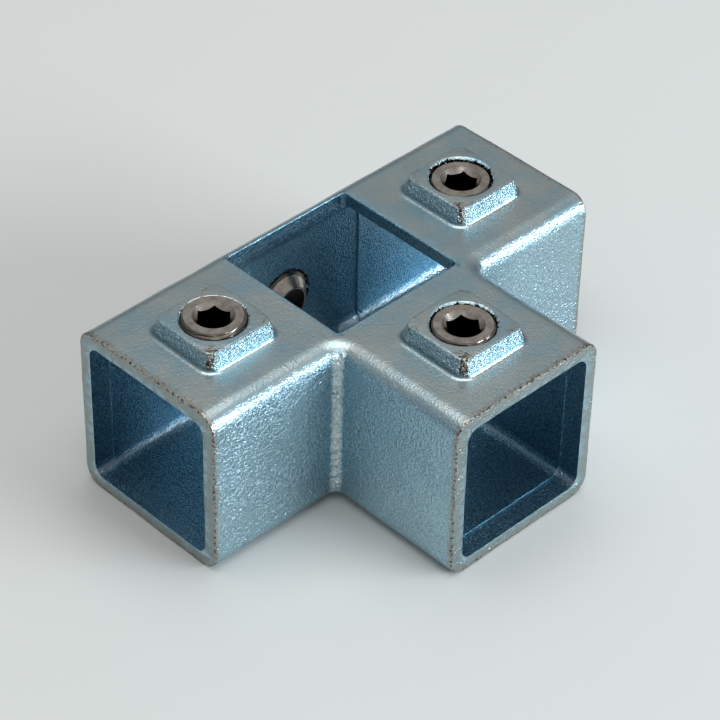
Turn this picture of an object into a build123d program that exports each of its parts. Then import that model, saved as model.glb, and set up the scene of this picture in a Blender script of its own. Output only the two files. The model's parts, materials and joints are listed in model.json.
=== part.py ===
"""Square tube clamp: a three-socket tee with a passage for an upright tube.

One malleable-iron casting joins three horizontal square tubes to an upright one.
Two sockets lie in line along X, the third branches off towards -Y, and the
upright passes through the middle along Z.  A set screw in a raised boss holds
the tube in each socket, and a fourth one in the back wall holds the upright.
The origin is on the upright's axis, in the plane of the flat underside.
Millimetres, +Z up.
"""
import os

from build123d import *

# --- tubes and sockets -------------------------------------------------------
TUBE = 40.0                 # outside width of the square tube that the sockets take
TUBE_CLEARANCE = 1.0        # bore width less tube width
WALL = 4.25                 # wall round each socket
ARM_REACH = 65.5            # upright's axis to the mouth of either in-line socket
BRANCH_REACH = 65.5         # upright's axis to the mouth of the branch socket
SHOULDER = 6.0              # wall of the upright's passage to the end of the middle chamber
CHAMBER_RELIEF = 0.5        # how much wider the middle chamber is cored on each side
MOUTH_DEPTH = 6.0           # length of the wider lead-in at each mouth
MOUTH_RELIEF = 0.25         # how far the lead-in stands back on each side

# --- cast edges --------------------------------------------------------------
CORNER_RADIUS = 5.0         # long outside corners of the square section
BORE_CORNER_RADIUS = 3.0    # long inside corners of the sockets
PASSAGE_CORNER_RADIUS = 1.2  # corners of the upright's square hole
INNER_CORNER_RADIUS = 2.4   # upright corners outside, where the branch meets the arms
POST_ROUND = 1.0            # the same corners inside
FACE_ROUND = 0.6            # outer rims of the three end faces
PASSAGE_ROUND = 0.5         # rims of the upright's hole

# --- screw bosses ------------------------------------------------------------
BOSS_INSET = 22.5           # mouth to the screw's axis
BOSS_WIDTH = 24.0           # square foot of a boss
BOSS_HEIGHT = 4.8           # boss face above the wall it stands on
BOSS_DRAFT = 19.0           # lean of the boss sides, degrees
BOSS_CORNER_RADIUS = 4.0    # plan corners at the foot
BOSS_FOOT_FILLET = 1.2      # hollow fillet round the foot
BOSS_FACE_ROUND = 0.5       # rim of the boss face

# --- set screws --------------------------------------------------------------
SCREW_RADIUS = 8.28         # over the thread crests
SCREW_CLEARANCE = 0.05      # radial gap in the tapped hole
SCREW_LENGTH = 12.0
SCREW_CHAMFER = 0.8         # chamfer round the socket end
HEX_WIDTH = 8.0             # across the flats of the key socket
HEX_DEPTH = 5.5
HEX_LEAD_IN = 0.25          # how far the 45 degree mouth of the key socket clears its corners
POINT_RADIUS = 5.1          # rim of the cup point
CUP_RADIUS = 4.6            # mouth of the hollow in the point
CUP_DEPTH = 2.4             # hollow of the cup point
HOLE_COUNTERSINK = 0.6      # 45 degree mouth of the tapped hole
HOLE_RUN_OUT = 0.4          # 45 degree chamfer at the bore side of the tapped hole

# How far the socket end of each screw stands above its boss face, and how far
# round the key socket has come to rest, in degrees.
STAND_LEFT = 1.0
STAND_RIGHT = -0.7
STAND_BRANCH = 0.0
STAND_BACK = 0.5
TURN_LEFT = 45.0
TURN_RIGHT = 34.0
TURN_BRANCH = 52.0
TURN_BACK = 20.0

# --- sizes that follow -------------------------------------------------------
BORE = TUBE + TUBE_CLEARANCE
OUTER = BORE + 2 * WALL
MIDDLE = OUTER / 2
CHAMBER = BORE + 2 * CHAMBER_RELIEF
HOLE_RADIUS = SCREW_RADIUS + SCREW_CLEARANCE
HEX_CORNER_RADIUS = HEX_WIDTH / 3**0.5
OVERCUT = 1.0               # how far a cutting shape runs past a surface
NEAR = 0.01                 # how close counts as being on a plane

REACHES = [
    (Vector(-1, 0, 0), ARM_REACH),
    (Vector(1, 0, 0), ARM_REACH),
    (Vector(0, -1, 0), BRANCH_REACH),
]


def on(value, target):
    """Whether a coordinate lies on a plane."""
    return abs(value - target) < NEAR


def tee(width, arm, branch, corner, inner):
    """A square-sectioned T at mid height: arms along X, a branch towards -Y.

    Its long edges are rounded by corner, and the two upright edges where the branch
    meets the arms are rounded by inner.
    """
    arms = Pos(0, 0, MIDDLE) * Box(2 * arm, width, width)
    stem = Pos(0, -branch / 2, MIDDLE) * Box(width, branch, width)
    block = arms + stem

    meeting = []
    for edge in block.edges().filter_by(Axis.Z):
        at = edge.center()
        if on(abs(at.X), width / 2) and on(at.Y, -width / 2):
            meeting.append(edge)
    block = fillet(meeting, inner)

    long_edges = []
    for edge in block.edges():
        at = edge.center()
        at_mouth = on(abs(at.X), arm) or on(at.Y, -branch)
        if on(abs(at.Z - MIDDLE), width / 2) and not at_mouth:
            long_edges.append(edge)
    return fillet(long_edges, corner)


def tee_block():
    """The solid tee before coring, with the rims of its three end faces eased."""
    square = tee(OUTER, ARM_REACH, BRANCH_REACH, CORNER_RADIUS, INNER_CORNER_RADIUS)
    along_x = square.faces().sort_by(Axis.X)
    ends = [along_x[0], along_x[-1], square.faces().sort_by(Axis.Y)[0]]
    return fillet([edge for end in ends for edge in end.edges()], FACE_ROUND)


def mouth_core(direction, reach):
    """The slightly wider lead-in core at the mouth of a socket."""
    width = BORE + 2 * MOUTH_RELIEF
    corner = BORE_CORNER_RADIUS + MOUTH_RELIEF
    foot = Vector(0, 0, MIDDLE) + direction * (reach - MOUTH_DEPTH)
    section = Plane(foot, x_dir=(0, 0, 1), z_dir=direction) * RectangleRounded(width, width, corner)
    return extrude(section, MOUTH_DEPTH + OVERCUT)


def core():
    """All that is cored out: the sockets, the middle chamber and the upright's passage."""
    sockets = tee(BORE, ARM_REACH + OVERCUT, BRANCH_REACH + OVERCUT, BORE_CORNER_RADIUS, POST_ROUND)
    chamber = tee(
        CHAMBER,
        BORE / 2 + SHOULDER,
        BORE / 2 + SHOULDER,
        BORE_CORNER_RADIUS + CHAMBER_RELIEF,
        POST_ROUND,
    )
    hole = Plane.XY.offset(-OVERCUT) * RectangleRounded(BORE, BORE, PASSAGE_CORNER_RADIUS)
    passage = extrude(hole, OUTER + 2 * OVERCUT)
    mouths = [mouth_core(direction, reach) for direction, reach in REACHES]
    return sockets + chamber + passage + mouths


def seat(axis_foot, outward, wall, stand, turn):
    """Where a set screw sits: a plane on the wall with z outwards, and its sizes."""
    plane = Plane(axis_foot, x_dir=(1, 0, 0), z_dir=outward)
    return {"plane": plane, "wall": wall, "stand": stand, "turn": turn}


ARM_SCREW = ARM_REACH - BOSS_INSET
BRANCH_SCREW = BRANCH_REACH - BOSS_INSET
UP = (0, 0, 1)
SEATS = {
    "set_screw_left": seat((-ARM_SCREW, 0, OUTER), UP, WALL, STAND_LEFT, TURN_LEFT),
    "set_screw_right": seat((ARM_SCREW, 0, OUTER), UP, WALL, STAND_RIGHT, TURN_RIGHT),
    "set_screw_branch": seat((0, -BRANCH_SCREW, OUTER), UP, WALL, STAND_BRANCH, TURN_BRANCH),
    "set_screw_back": seat(
        (0, OUTER / 2, MIDDLE), (0, 1, 0), WALL - CHAMBER_RELIEF, STAND_BACK, TURN_BACK
    ),
}


def add_boss(body, plane):
    """The raised square pad for a screw, with drafted sides and a filleted foot."""
    foot = plane * RectangleRounded(BOSS_WIDTH, BOSS_WIDTH, BOSS_CORNER_RADIUS)
    pad = extrude(foot, BOSS_HEIGHT, taper=BOSS_DRAFT)
    face = pad.faces().sort_by(lambda item: plane.to_local_coords(item.center()).Z)[-1]
    pad = fillet(face.edges(), BOSS_FACE_ROUND)
    body += pad

    def at_foot(edge):
        at = plane.to_local_coords(edge.center())
        return on(at.Z, 0) and max(abs(at.X), abs(at.Y)) < BOSS_WIDTH / 2 + NEAR

    return fillet([edge for edge in body.edges() if at_foot(edge)], BOSS_FOOT_FILLET)


def tapped_hole(place):
    """The cutting shape of a screw's hole: bore, countersink and inner chamfer."""
    top = BOSS_HEIGHT
    bottom = -place["wall"]
    mouth = HOLE_RADIUS + HOLE_COUNTERSINK + OVERCUT
    run_out = HOLE_RADIUS + HOLE_RUN_OUT + OVERCUT
    profile = Polyline(
        (0, bottom - OVERCUT),
        (run_out, bottom - OVERCUT),
        (HOLE_RADIUS, bottom + HOLE_RUN_OUT),
        (HOLE_RADIUS, top - HOLE_COUNTERSINK),
        (mouth, top + OVERCUT),
        (0, top + OVERCUT),
        close=True,
    )
    return place["plane"] * revolve(Plane.XZ * make_face(profile), Axis.Z)


def passage_rims(body):
    """The edges of the upright's hole in the top and the underside."""
    found = []
    for edge in body.edges():
        at = edge.center()
        level = on(at.Z, 0) or on(at.Z, OUTER)
        if level and max(abs(at.X), abs(at.Y)) < BORE / 2 + NEAR:
            found.append(edge)
    return found


def casting():
    """The cored casting with its bosses and holes."""
    body = tee_block()
    for place in SEATS.values():
        body = add_boss(body, place["plane"])
    body = fillet(passage_rims(body - core()), PASSAGE_ROUND)
    for place in SEATS.values():
        body -= tapped_hole(place)
    return body


def set_screw(turn):
    """A socket set screw with a cup point, its socket end up and its point at z = 0."""
    profile = Polyline(
        (0, CUP_DEPTH),
        (CUP_RADIUS, 0),
        (POINT_RADIUS, 0),
        (SCREW_RADIUS, SCREW_RADIUS - POINT_RADIUS),
        (SCREW_RADIUS, SCREW_LENGTH - SCREW_CHAMFER),
        (SCREW_RADIUS - SCREW_CHAMFER, SCREW_LENGTH),
        (0, SCREW_LENGTH),
        close=True,
    )
    shank = revolve(Plane.XZ * make_face(profile), Axis.Z)
    end = Plane.XY.offset(SCREW_LENGTH)
    key = extrude(end * RegularPolygon(HEX_CORNER_RADIUS, 6, rotation=turn), -HEX_DEPTH)
    mouth_radius = HEX_CORNER_RADIUS + HEX_LEAD_IN
    lead_in = Pos(0, 0, SCREW_LENGTH - mouth_radius / 2) * Cone(0, mouth_radius, mouth_radius)
    return shank - key - lead_in


def write(shape, name):
    """Store one piece as parts/NAME.step."""
    shape.label = name
    export_step(shape, os.path.join("parts", name + ".step"))


os.makedirs("parts", exist_ok=True)
write(casting(), "casting")
for screw_name, place in SEATS.items():
    drop = BOSS_HEIGHT + place["stand"] - SCREW_LENGTH
    write(place["plane"].offset(drop) * set_screw(place["turn"]), screw_name)
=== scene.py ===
import json
import math

import bmesh
import bpy
from mathutils import Matrix, Quaternion, Vector, noise


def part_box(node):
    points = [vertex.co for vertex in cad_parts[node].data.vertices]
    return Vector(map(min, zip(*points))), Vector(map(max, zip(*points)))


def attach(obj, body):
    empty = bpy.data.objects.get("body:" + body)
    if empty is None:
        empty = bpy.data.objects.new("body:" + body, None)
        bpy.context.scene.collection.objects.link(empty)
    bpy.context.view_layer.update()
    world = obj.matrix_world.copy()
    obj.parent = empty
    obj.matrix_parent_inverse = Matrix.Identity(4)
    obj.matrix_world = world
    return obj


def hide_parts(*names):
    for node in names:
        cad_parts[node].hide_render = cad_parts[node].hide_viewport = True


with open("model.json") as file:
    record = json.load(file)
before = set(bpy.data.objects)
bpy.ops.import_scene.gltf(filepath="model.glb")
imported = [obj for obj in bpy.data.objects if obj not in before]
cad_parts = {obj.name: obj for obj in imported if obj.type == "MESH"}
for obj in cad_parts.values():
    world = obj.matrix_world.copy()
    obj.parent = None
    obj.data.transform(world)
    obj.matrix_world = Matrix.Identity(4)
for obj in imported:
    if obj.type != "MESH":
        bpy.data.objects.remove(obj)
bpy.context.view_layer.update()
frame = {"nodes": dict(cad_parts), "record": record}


# --- Camera ------------------------------------------------------------------
# A 36 mm frame behind a long lens, three quarters of a metre away. It looks down
# on the fitting across the mouths of the left arm and the branch.
MM = 0.001
AIM = Vector((9.69, 2.11, 10.09)) * MM
DISTANCE = 767.2 * MM
AZIMUTH, ELEVATION, ROLL = (math.radians(angle) for angle in (-44.92, 39.56, 1.284))

bpy.ops.object.select_all(action="DESELECT")
back = Vector((
    math.sin(AZIMUTH) * math.cos(ELEVATION),
    -math.cos(AZIMUTH) * math.cos(ELEVATION),
    math.sin(ELEVATION),
))
bpy.ops.object.camera_add(location=AIM + back * DISTANCE)
camera = bpy.context.object
camera.rotation_mode = "QUATERNION"
camera.rotation_quaternion = back.to_track_quat("Z", "Y") @ Quaternion((0, 0, 1), ROLL)
camera.data.sensor_width = 36.0
camera.data.lens = 145.86
camera.data.clip_start = 0.05
camera.data.clip_end = 20.0
bpy.context.scene.camera = camera
bpy.context.scene.view_settings.view_transform = "Standard"


# --- Casting -----------------------------------------------------------------
# Malleable iron poured in a sand mould, with sand cores for the sockets, tumbled
# and zinc plated. Its walls wave a little, its outside walls are wrinkled by the
# sand, and the inside corners beside the branch hold a lumpy bead of metal.
WALL = 4.25 * MM
CORE_SKIN = 0.55 * MM       # a point this close to the cored space is on an inside wall
GRID = 4.0 * MM             # between cutting planes, before the long edges are divided
END_GAP = 0.1 * MM          # no cutting plane comes this close to the casting's ends
LONG_EDGE = 1.3 * MM
BEAD_MESH = 3.38 * MM       # the mesh is finer this close to the bead's corner
BEAD_EDGES = (0.7 * MM, 0.4 * MM)
CRISP_BEND = 0.7            # radians a millimetre: the bend past which an edge wears
RIM_SPREAD = (0.75, 0.45)   # how worn the skin is one and two steps away from that edge
SCREW_PAD = (10.5 * MM, 12.6 * MM)  # from a screw's axis: flat to the first, cast from the second
SCREW_HOLE = 8.75 * MM      # the mouth of the hole, black with oil and painted shade, reaches this far from the axis

# The height of the sockets' axes, which is half the width of the square section.
half = frame["record"]["mounts"][1]["pos_m"][2]
low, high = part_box("casting")
bpy.ops.object.select_all(action="DESELECT")
tee = bpy.data.objects.new("tee_casting", frame["nodes"]["casting"].data.copy())
bpy.context.scene.collection.objects.link(tee)
bpy.context.view_layer.objects.active = tee
tee.select_set(True)
tee.data.materials.clear()
bpy.ops.mesh.customdata_custom_splitnormals_clear()

bpy.ops.object.mode_set(mode="EDIT")
bpy.ops.mesh.select_all(action="SELECT")
bpy.ops.mesh.remove_doubles(threshold=0.002 * MM)
bpy.ops.mesh.dissolve_limited(angle_limit=math.radians(0.3))
for axis in range(3):
    step = math.ceil((low[axis] + END_GAP) / GRID)
    while step * GRID < high[axis] - END_GAP:
        point, normal = [0, 0, 0], [0, 0, 0]
        point[axis], normal[axis] = step * GRID, 1
        bpy.ops.mesh.select_all(action="SELECT")
        bpy.ops.mesh.bisect(plane_co=point, plane_no=normal)
        step += 1
bpy.ops.object.mode_set(mode="OBJECT")


def in_cores(point):
    """Whether a point is in the cored space or on its walls."""
    reach = half - WALL + CORE_SKIN
    level = abs(point.z - half) < reach
    arms = level and abs(point.y) < reach
    branch = level and abs(point.x) < reach and point.y < 0
    passage = abs(point.x) < reach and abs(point.y) < reach
    return arms or branch or passage


def bead_distance(point):
    """How far a point is from the nearer inside corner beside the branch."""
    return math.hypot(abs(point.x) - half, point.y + half)


def crease_distance(point):
    """How far a point is from the nearest lower inside corner of a socket."""
    bore = half - WALL
    aside = abs(point.y) if abs(point.x) > bore else abs(point.x)
    return math.hypot(aside - bore, point.z - WALL)


def middle(edge):
    """The point halfway along an edge."""
    return (edge.verts[0].co + edge.verts[1].co) / 2


def divide(mesh, cuts, wanted):
    """Divide the edges that wanted() picks."""
    edges = [edge for edge in mesh.edges if wanted(edge)]
    bmesh.ops.subdivide_edges(mesh, edges=edges, cuts=cuts, use_grid_fill=True)


def eased(value, start, end):
    """0 at start, 1 at end, with a soft rise between."""
    share = min(max((value - start) / (end - start), 0), 1)
    return share * share * (3 - 2 * share)


skin = bmesh.new()
skin.from_mesh(tee.data)
outside_cuts = 3
divide(skin, 1, lambda edge: edge.calc_length() > 2 * LONG_EDGE and in_cores(middle(edge)))
divide(
    skin, outside_cuts,
    lambda edge: edge.calc_length() > LONG_EDGE and not in_cores(middle(edge)),
)
for longest in BEAD_EDGES:
    divide(
        skin, 1,
        lambda edge: edge.calc_length() > longest and bead_distance(middle(edge)) < BEAD_MESH,
    )
skin.normal_update()

screws = {name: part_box(name) for name in frame["nodes"] if name.startswith("set_screw")}


def as_cast(point):
    """0 on the flat pad round a screw, 1 on the skin that the mould left."""
    share = 1.0
    for screw_low, screw_high in screws.values():
        away = point - (screw_low + screw_high) / 2
        level = screw_high.y > half
        across = away.xz.length if level else away.xy.length
        near_end = point.y > half - WALL if level else point.z > 2 * half - WALL
        if near_end:
            share = min(share, eased(across, *SCREW_PAD))
    return share


# Where the surface bends outwards sharply, for the wear on its edges.
rim = skin.verts.layers.float.new("rim")
for edge in skin.edges:
    if len(edge.link_faces) == 2:
        near, far = edge.link_faces
        bend = edge.calc_face_angle_signed(0)
        width = (near.calc_center_median() - far.calc_center_median()).length / MM
        crisp = bend > math.radians(3) and bend / max(width, 0.2) > CRISP_BEND
        if crisp and not in_cores(middle(edge)) and as_cast(middle(edge)) > 0.5:
            for corner in edge.verts:
                corner[rim] = 1.0
for strength in RIM_SPREAD:
    touched = {}
    for edge in skin.edges:
        for one, other in (edge.verts, reversed(edge.verts)):
            if one[rim] > 0 and other[rim] == 0:
                touched[other] = strength
    for corner, value in touched.items():
        corner[rim] = value

# sand is how rough the mould left the skin, worst on the front of the left arm. cored
# marks the inside walls, lying_tint the faces that lie flat, corner_shade the painted
# shade in the deep inside corners, bead_and_highlight the lump of metal in them with a
# painted highlight on it, mouth the painted shade on the three end faces,
# crease_highlight a painted highlight along the lower inside corners of the sockets, and
# oil_and_gap_shade the oil and painted shade in the mouths of the screw holes. Each pair
# in brackets is where a share starts to change and where it stops.
WORST, WORST_REACH = Vector((-44, -24.75, 31)) * MM, (8 * MM, 26 * MM)
DRIFT = 9 * MM
ROUGH_ALL, ROUGH_WALL, ROUGH_DRIFT, ROUGH_WORST, ROUGH_BOSS = 0.07, 0.25, 0.30, 0.6, 0.4
UPRIGHT, LYING = (0.25, 0.8), (0.5, 0.95)   # by how far a normal points up or down
BOSS_RISE = (0.5 * MM, 1.5 * MM)
NOOK, NOOK_SHARE = (2 * MM, 17 * MM), 0.5
BEAD_EDGE = (1.17 * MM, 2.08 * MM)
CREASE = (1.15 * MM, 1.45 * MM)
MOUTH = (-1.0 * MM, -0.5 * MM)
KNOCK_WIDTH, KNOCK_NEAR, KNOCK_FAR = 1.4 * MM, 7.0 * MM, 13.125 * MM
KNOCK_BOSS, KNOCK_SHARE = 0.2, 1.1
WAVE, WAVE_DEPTH = 11.0 * MM, 0.26 * MM
LUMP, LUMP_DEPTH = 2.6 * MM, 0.08 * MM
FOLD, FOLD_STRETCH = 1.1 * MM, 0.7
BEAD_HEIGHT, BEAD_MEAN, BEAD_SWING = 0.95 * MM, 0.35, 0.9

layers = skin.verts.layers.float
sand, lying_tint, corner_shade, bead_and_highlight, mouth, crease_highlight, oil_and_gap_shade = (
    layers.new(name) for name in ("sand", "lying_tint", "corner_shade", "bead_and_highlight", "mouth", "crease_highlight", "oil_and_gap_shade")
)
cored = skin.faces.layers.float.new("cored")
# The inside walls, which the plate paints dark blue as shade.
for face in skin.faces:
    face[cored] = 1.0 if in_cores(face.calc_center_median()) else 0.0
for vertex in skin.verts:
    point, normal = vertex.co.copy(), vertex.normal.copy()
    upright = 1 - eased(abs(normal.z), *UPRIGHT)
    outside = 0.0 if in_cores(point) else 1.0
    boss = eased(point.z - 2 * half, *BOSS_RISE)
    patch = 1 - eased((point - WORST).length, *WORST_REACH)
    drift = 0.5 + 0.5 * noise.noise(point / DRIFT)
    rough = ROUGH_WALL + ROUGH_DRIFT * drift + ROUGH_WORST * patch + ROUGH_BOSS * boss
    corner = bead_distance(point)
    past = max(abs(point.x) - high.x, low.y - point.y)
    vertex[sand] = outside * upright * rough + ROUGH_ALL
    # Faces that lie flat, up or down, are coloured greyer and less blue.
    vertex[lying_tint] = outside * eased(abs(normal.z), *LYING)
    # Painted shade in the deep inside corners beside the branch.
    vertex[corner_shade] = NOOK_SHARE * outside * upright * (1 - eased(corner, *NOOK))
    # The bead's share also paints a pale highlight on it.
    vertex[bead_and_highlight] = outside * upright * (1 - eased(corner, *BEAD_EDGE))
    # A pale highlight painted along the lower inside corners of the sockets.
    vertex[crease_highlight] = (1 - outside) * (1 - eased(crease_distance(point), *CREASE))
    # Painted shade: the end faces are coloured darker and greyer.
    vertex[mouth] = outside * eased(past, *MOUTH)

    # Oil and painted shade of the gap round each screw, and knocks on the front
    # left corner of each boss on top.
    for screw_low, screw_high in screws.values():
        away = point - (screw_low + screw_high) / 2
        level = screw_high.y > half
        across = away.xz.length if level else away.xy.length
        along = abs(away.y) if level else abs(away.z)
        if across < SCREW_HOLE and along < 2 * WALL:
            vertex[oil_and_gap_shade] = 1.0
        in_corner = abs(away.x - away.y) < KNOCK_WIDTH and KNOCK_NEAR < -away.x < KNOCK_FAR
        if in_corner and boss > KNOCK_BOSS and not level:
            vertex[rim] = KNOCK_SHARE

    # The skin is pushed in by the waves and lumps, and out by the bead.
    wave = 0.5 + 0.5 * noise.noise(point / WAVE)
    lump = 0.5 + 0.5 * noise.noise(point / LUMP)
    depth = WAVE_DEPTH * wave + LUMP_DEPTH * lump * upright * outside
    folds = Vector((FOLD_STRETCH * point.x, FOLD_STRETCH * point.y, point.z)) / FOLD
    swell = max(BEAD_MEAN + BEAD_SWING * noise.noise(folds), 0.0)
    depth -= BEAD_HEIGHT * vertex[bead_and_highlight] * swell
    vertex.co = point - normal * depth * as_cast(point)
skin.to_mesh(tee.data)
skin.free()
bpy.ops.object.shade_smooth_by_angle(angle=math.radians(32))


def linear(colour):
    """An sRGB hex colour as linear red, green, blue and a full alpha."""
    parts = [int(colour[place:place + 2], 16) / 255 for place in (1, 3, 5)]
    return [p / 12.92 if p < 0.04045 else ((p + 0.055) / 1.055) ** 2.4 for p in parts] + [1.0]


def node(tree, kind, inputs=None, **settings):
    """Add a shader node with its settings, its input values and its links."""
    made = tree.nodes.new("ShaderNode" + kind)
    for name, value in settings.items():
        setattr(made, name, value)
    for name, value in (inputs or {}).items():
        if isinstance(value, bpy.types.NodeSocket):
            tree.links.new(value, made.inputs[name])
        else:
            made.inputs[name].default_value = value
    return made


# Blue-passivated zinc plate on cast iron: a bright metal with a cool blue cast, kept
# satin by the grain of the sand. Shade is painted on it in dark blue in the cores and the
# deep inside corners, and in darker grey on the end faces. Pale highlights are painted
# along the bead and along the lower inside corners of the sockets. It is greyer on the
# faces that lie flat and worn to brown iron along its crisp edges. The wrinkles are 1 mm
# wide and the grains 0.5 mm, a little coarser than the sand, so that they show.
zinc = bpy.data.materials.new("blue_passivated_zinc_plate")
zinc.use_nodes = True
tree = zinc.node_tree
shader = tree.nodes["Principled BSDF"]
place = node(tree, "TexCoord").outputs["Object"]
shares = {
    name: node(tree, "Attribute", attribute_name=name).outputs["Fac"]
    for name in ("sand", "rim", "cored", "lying_tint", "corner_shade", "bead_and_highlight", "mouth", "crease_highlight", "oil_and_gap_shade")
}

wrinkle = node(tree, "TexNoise", {
    "Vector": place, "Scale": 1 / (1.0 * MM), "Detail": 3.0, "Roughness": 0.6, "Distortion": 0.1,
}).outputs["Fac"]
grain = node(tree, "TexNoise", {
    "Vector": place, "Scale": 1 / (0.5 * MM), "Detail": 1.0, "Roughness": 0.6,
}).outputs["Fac"]
blotch = node(tree, "TexNoise", {
    "Vector": place, "Scale": 1 / (14.0 * MM), "Detail": 7.0, "Roughness": 0.7,
}).outputs["Fac"]

wrinkle_depth = node(
    tree, "Math", {0: wrinkle, 1: shares["sand"]}, operation="MULTIPLY"
).outputs[0]
wrinkle_height = node(tree, "Math", {0: wrinkle_depth, 1: 0.85}, operation="MULTIPLY").outputs[0]
grain_depth = node(
    tree, "Math", {0: shares["cored"], 1: 0.8, 2: shares["sand"]}, operation="MULTIPLY_ADD"
).outputs[0]
grain_height = node(
    tree, "Math", {0: grain_depth, 1: 0.24, 2: 0.03}, operation="MULTIPLY_ADD"
).outputs[0]
height = node(
    tree, "Math", {0: grain, 1: grain_height, 2: wrinkle_height}, operation="MULTIPLY_ADD"
).outputs[0]
bump = node(tree, "Bump", {"Height": height, "Distance": MM, "Strength": 1.0})

blotched = node(
    tree, "MapRange", {"Value": blotch, "From Min": 0.40, "From Max": 0.62}
).outputs["Result"]
pitted = node(
    tree, "MapRange", {"Value": grain, "From Min": 0.36, "From Max": 0.62}
).outputs["Result"]
bright = node(tree, "Mix", {
    "Factor": pitted, "A": linear("#8db2c4"), "B": linear("#bcd8e1"),
}, data_type="RGBA").outputs[2]
# Painted shade: a dark blue for the inside walls and the deep inside corners.
painted_shade_colour = node(tree, "Mix", {
    "Factor": pitted, "A": linear("#567f98"), "B": linear("#8eb3c3"),
}, data_type="RGBA").outputs[2]
lying_colour = node(tree, "Mix", {
    "Factor": blotched, "A": linear("#a2bdc6"), "B": linear("#bcc3c0"),
}, data_type="RGBA").outputs[2]

# Iron shows where the wear passes a threshold, and black oil with painted shade where
# the share at the screw holes does.
speck = node(tree, "TexNoise", {
    "Vector": place, "Scale": 1 / (0.7 * MM), "Detail": 2.0, "Roughness": 0.6,
}).outputs["Fac"]
wear = node(
    tree, "Math", {0: shares["rim"], 1: 0.31, 2: speck}, operation="MULTIPLY_ADD"
).outputs[0]
faded = node(
    tree, "MapRange", {"Value": wear, "From Min": 0.62, "From Max": 0.80}
).outputs["Result"]
worn = node(
    tree, "MapRange", {"Value": wear, "From Min": 0.80, "From Max": 0.90}
).outputs["Result"]
smeared = node(
    tree, "Math", {0: shares["oil_and_gap_shade"], 1: speck, 2: 0.9}, operation="MULTIPLY_ADD"
).outputs[0]
oil_and_shade_mask = node(
    tree, "MapRange", {"Value": smeared, "From Min": 1.28, "From Max": 1.34}
).outputs["Result"]

# From the plate up: each coat covers what is under it by its share.
coats = (
    # A greyer, less blue colour on the faces that lie flat.
    (shares["lying_tint"], lying_colour),
    # Painted shade in the deep inside corners.
    (shares["corner_shade"], painted_shade_colour),
    # A pale highlight painted on the bead.
    (shares["bead_and_highlight"], linear("#d2e0e2")),
    # Painted shade on the end faces.
    (shares["mouth"], linear("#9aaaac")),
    # Painted shade on the inside walls.
    (shares["cored"], painted_shade_colour),
    # A pale highlight painted along those corners.
    (shares["crease_highlight"], linear("#c4d4de")),
    (faded, linear("#a9a59c")),
    (worn, linear("#4a443f")),
    # Black oil with painted shade of the gap round each screw.
    (oil_and_shade_mask, linear("#1c1b1a")),
)
plate = bright
for share, colour in coats:
    coat = node(tree, "Mix", {"Factor": share, "A": plate, "B": colour}, data_type="RGBA")
    plate = coat.outputs[2]
roughness = node(tree, "Math", {0: worn, 1: 0.25, 2: 0.29}, operation="MULTIPLY_ADD").outputs[0]
tree.links.new(plate, shader.inputs["Base Color"])
tree.links.new(roughness, shader.inputs["Roughness"])
tree.links.new(bump.outputs["Normal"], shader.inputs["Normal"])
shader.inputs["Metallic"].default_value = 1.0
tee.data.materials.append(zinc)

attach(tee, "casting")
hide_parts("casting")


# --- Set screws --------------------------------------------------------------
# Four alike, turned from stainless steel bar: a rolled pipe thread, a key socket with
# a conical lead-in at one end, and a cone with a hollow cup at the point.
SIDES, ROWS = 96, 80
PITCH = 1.337 * MM
THREAD_DEPTH = 0.856 * MM
FLANK_SLOPE, CREST_FLAT = 1.3, 0.15
CHAMFER = 0.8 * MM
POINT_RADIUS = 5.1 * MM
CUP_RADIUS, CUP_DEPTH = 4.6 * MM, 2.4 * MM
KEY_CORNER = 8.0 * MM / math.sqrt(3)
KEY_DEPTH = 5.5 * MM
LEAD_IN = KEY_CORNER + 0.75 * MM    # radius at the end face, sloping in at 45 degrees

# How far round each screw has come to rest, in degrees.
TURNS = {
    "set_screw_left": 45.0,
    "set_screw_right": 34.0,
    "set_screw_branch": 52.0,
    "set_screw_back": 20.0,
}

low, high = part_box("set_screw_left")
crest, length = (high.x - low.x) / 2, high.z - low.z
bpy.ops.object.select_all(action="DESELECT")
bpy.ops.mesh.primitive_cylinder_add(
    vertices=SIDES, radius=crest, depth=length, location=(0, 0, length / 2)
)
master = bpy.context.object
bpy.ops.object.transform_apply()
bpy.ops.object.mode_set(mode="EDIT")
bpy.ops.mesh.select_mode(type="EDGE")
bpy.ops.mesh.select_all(action="DESELECT")
bpy.ops.object.mode_set(mode="OBJECT")
for edge in master.data.edges:
    ends = [master.data.vertices[corner].co.z for corner in edge.vertices]
    edge.select = abs(ends[0] - ends[1]) > length / 2
bpy.ops.object.mode_set(mode="EDIT")
bpy.ops.mesh.subdivide(number_cuts=ROWS - 1)
bpy.ops.object.mode_set(mode="OBJECT")


def thread_radius(point):
    """The screw's radius at a point: its thread, cut off by the cone and the chamfer."""
    turn = math.atan2(point.y, point.x) / (2 * math.pi)
    along = (point.z / PITCH - turn) % 1.0
    flank = min(max(FLANK_SLOPE * abs(2 * along - 1) - CREST_FLAT, 0), 1)
    cone = POINT_RADIUS + point.z
    chamfer = crest - CHAMFER + length - point.z
    return min(crest - THREAD_DEPTH * flank, cone, chamfer)


for vertex in master.data.vertices:
    flat = Vector((vertex.co.x, vertex.co.y, 0)).normalized() * thread_radius(vertex.co)
    vertex.co = (flat.x, flat.y, vertex.co.z)

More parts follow.
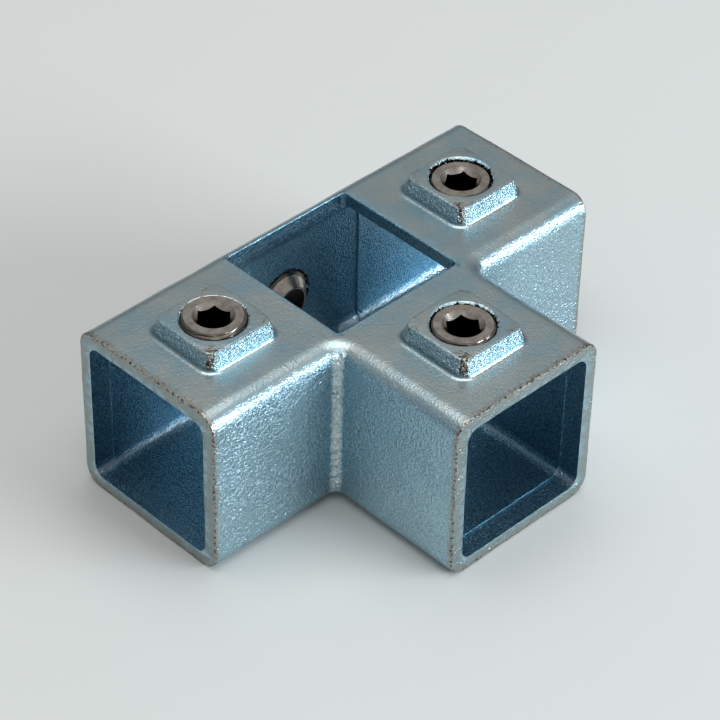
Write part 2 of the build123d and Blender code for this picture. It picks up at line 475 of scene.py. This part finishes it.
# The cup in the point.
bpy.ops.object.mode_set(mode="EDIT")
bpy.ops.mesh.select_mode(type="FACE")
bpy.ops.mesh.select_all(action="DESELECT")
bpy.ops.object.mode_set(mode="OBJECT")
for face in master.data.polygons:
    face.select = face.normal.z < -0.99 and face.center.z < 0.1 * MM
bpy.ops.object.mode_set(mode="EDIT")
bpy.ops.mesh.inset(thickness=POINT_RADIUS - CUP_RADIUS)
bpy.ops.mesh.poke(offset=-CUP_DEPTH)
bpy.ops.object.mode_set(mode="OBJECT")

# The key socket: a broached hexagon and its conical lead-in.
bpy.ops.mesh.primitive_cylinder_add(
    vertices=6,
    radius=KEY_CORNER,
    depth=2 * KEY_DEPTH,
    location=(0, 0, length),
    rotation=(0, 0, math.radians(30)),
)
key = bpy.context.object
bpy.ops.mesh.primitive_cone_add(
    vertices=SIDES,
    radius1=0,
    radius2=2 * LEAD_IN,
    depth=2 * LEAD_IN,
    location=(0, 0, length),
)
lead_in = bpy.context.object
for cutter in (key, lead_in):
    cut = master.modifiers.new("cut", "BOOLEAN")
    cut.operation = "DIFFERENCE"
    cut.solver = "EXACT"
    cut.object = cutter
    bpy.context.view_layer.objects.active = master
    bpy.ops.object.modifier_apply(modifier=cut.name)
    bpy.data.objects.remove(cutter)

# This share is where thread oil has gathered and darkened, and where shade is painted:
# black in the key socket and the cup, as painted shade in these recesses, thick in the
# thread as painted shade of the gap round the screw, and a film on the chamfer as a
# painted reflection of the dark room. The lead-in stays clean.
KEY_OIL_AND_SHADE, THREAD_OIL_AND_SHADE, CHAMFER_OIL_AND_SHADE = 1.0, 0.8, 0.5
BELOW_LEAD_IN = 2 * MM      # from the end face, past the deepest of the lead-in
ABOVE_CUP = length / 3      # from the point, between the cup and the floor of the key
STEEP = 0.6                 # a face whose normal rises less than this is a wall
oil_and_recess_shade = master.data.attributes.new("oil_and_recess_shade", "FLOAT", "FACE")
for face in master.data.polygons:
    radius = math.hypot(face.center.x, face.center.y)
    along = face.center.z
    within_key = radius < KEY_CORNER and along > ABOVE_CUP
    key_wall = within_key and abs(face.normal.z) < STEEP
    key_floor = within_key and along < length - BELOW_LEAD_IN
    cup = radius < CUP_RADIUS and along < CUP_DEPTH
    thread = radius > CUP_RADIUS and CUP_DEPTH < along < length - CHAMFER
    chamfer = radius > crest - CHAMFER and along > length - CHAMFER
    # Painted shade: black in the key socket and the cup.
    if key_wall or key_floor or cup:
        oil_and_recess_shade.data[face.index].value = KEY_OIL_AND_SHADE
    elif thread:
        oil_and_recess_shade.data[face.index].value = THREAD_OIL_AND_SHADE
    elif chamfer:
        oil_and_recess_shade.data[face.index].value = CHAMFER_OIL_AND_SHADE

# Stainless steel with a brown film of thread oil: a warm grey metal, fairly bright, black
# where the oil and the painted shade are thick, and not quite smooth from the turning tool.
steel = bpy.data.materials.new("turned_stainless_steel")
steel.use_nodes = True
tree = steel.node_tree
shader = tree.nodes["Principled BSDF"]
place = node(tree, "TexCoord").outputs["Object"]
oil_and_shade_share = node(tree, "Attribute", attribute_name="oil_and_recess_shade").outputs["Fac"]
smear = node(tree, "TexNoise", {
    "Vector": place, "Scale": 1 / (2.5 * MM), "Detail": 3.0, "Roughness": 0.6,
}).outputs["Fac"]
film = node(
    tree, "MapRange", {"Value": smear, "From Min": 0.35, "From Max": 0.7}
).outputs["Result"]
clean = node(tree, "Mix", {
    "Factor": film, "A": linear("#c6bdb3"), "B": linear("#a0958a"),
}, data_type="RGBA").outputs[2]
# Black where the oil and the painted shade lie.
colour = node(tree, "Mix", {
    "Factor": oil_and_shade_share, "A": clean, "B": linear("#1d1b1a"),
}, data_type="RGBA").outputs[2]
tool = node(tree, "TexNoise", {
    "Vector": place, "Scale": 1 / (0.5 * MM), "Detail": 1.0, "Roughness": 0.5,
}).outputs["Fac"]
bump = node(tree, "Bump", {"Height": tool, "Distance": 0.03 * MM, "Strength": 1.0})
tree.links.new(colour, shader.inputs["Base Color"])
tree.links.new(bump.outputs["Normal"], shader.inputs["Normal"])
shader.inputs["Metallic"].default_value = 1.0
shader.inputs["Roughness"].default_value = 0.22

for name, turn in TURNS.items():
    low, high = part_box(name)
    centre = (low + high) / 2
    if high.y > half:
        seat = Matrix(((1, 0, 0, centre.x), (0, 0, 1, low.y), (0, -1, 0, centre.z), (0, 0, 0, 1)))
    else:
        seat = Matrix.Translation((centre.x, centre.y, low.z))
    screw = bpy.data.objects.new(name.replace("set_screw", "threaded_screw"), master.data.copy())
    bpy.context.scene.collection.objects.link(screw)
    screw.data.transform(seat @ Matrix.Rotation(math.radians(turn), 4, "Z"))
    bpy.ops.object.select_all(action="DESELECT")
    bpy.context.view_layer.objects.active = screw
    screw.select_set(True)
    bpy.ops.object.shade_smooth_by_angle(angle=math.radians(32))
    screw.data.materials.append(steel)
    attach(screw, name)
    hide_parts(name)
bpy.data.objects.remove(master)


# --- Floor and light ---------------------------------------------------------
# A pale matt table top, lit by a wide window low on the right and a soft ceiling.
bpy.ops.object.select_all(action="DESELECT")
bpy.ops.mesh.primitive_plane_add(size=6, location=(0, 0, -0.05 * MM))
floor = bpy.context.object
floor.name = "table_top"
matt = bpy.data.materials.new("matt_white_board")
matt.use_nodes = True
matt.node_tree.nodes["Principled BSDF"].inputs["Base Color"].default_value = linear("#d6d7d4")
matt.node_tree.nodes["Principled BSDF"].inputs["Roughness"].default_value = 0.9
floor.data.materials.append(matt)

world = bpy.data.worlds.new("room")
bpy.context.scene.world = world
world.use_nodes = True
tree = world.node_tree
direction = node(tree, "TexCoord").outputs["Generated"]
rise = node(tree, "SeparateXYZ", {0: direction}).outputs["Z"]
share = node(tree, "MapRange", {"Value": rise, "From Max": 0.75}).outputs["Result"]
room_colour = node(tree, "Mix", {
    "Factor": share, "A": linear("#6a6d72"), "B": linear("#b1b3b4"),
}, data_type="RGBA").outputs[2]
tree.links.new(room_colour, tree.nodes["Background"].inputs["Color"])


def soft_lamp(name, direction, distance, width, height, power, colour):
    """A rectangular lamp at a direction and distance, facing the fitting."""
    bpy.ops.object.light_add(type="AREA", location=Vector(direction).normalized() * distance)
    lamp = bpy.context.object
    lamp.name = name
    lamp.data.shape = "RECTANGLE"
    lamp.data.size, lamp.data.size_y, lamp.data.energy = width, height, power
    lamp.data.color = linear(colour)[:3]
    lamp.rotation_mode = "QUATERNION"
    lamp.rotation_quaternion = lamp.location.to_track_quat("Z", "Y")


soft_lamp("window", (0.45, -0.86, 0.33), 2.2, 1.6, 0.55, 50, "#e8f3fb")
soft_lamp("ceiling", (0.0, 0.0, 1.0), 1.4, 1.3, 1.3, 9.5, "#ffffff")
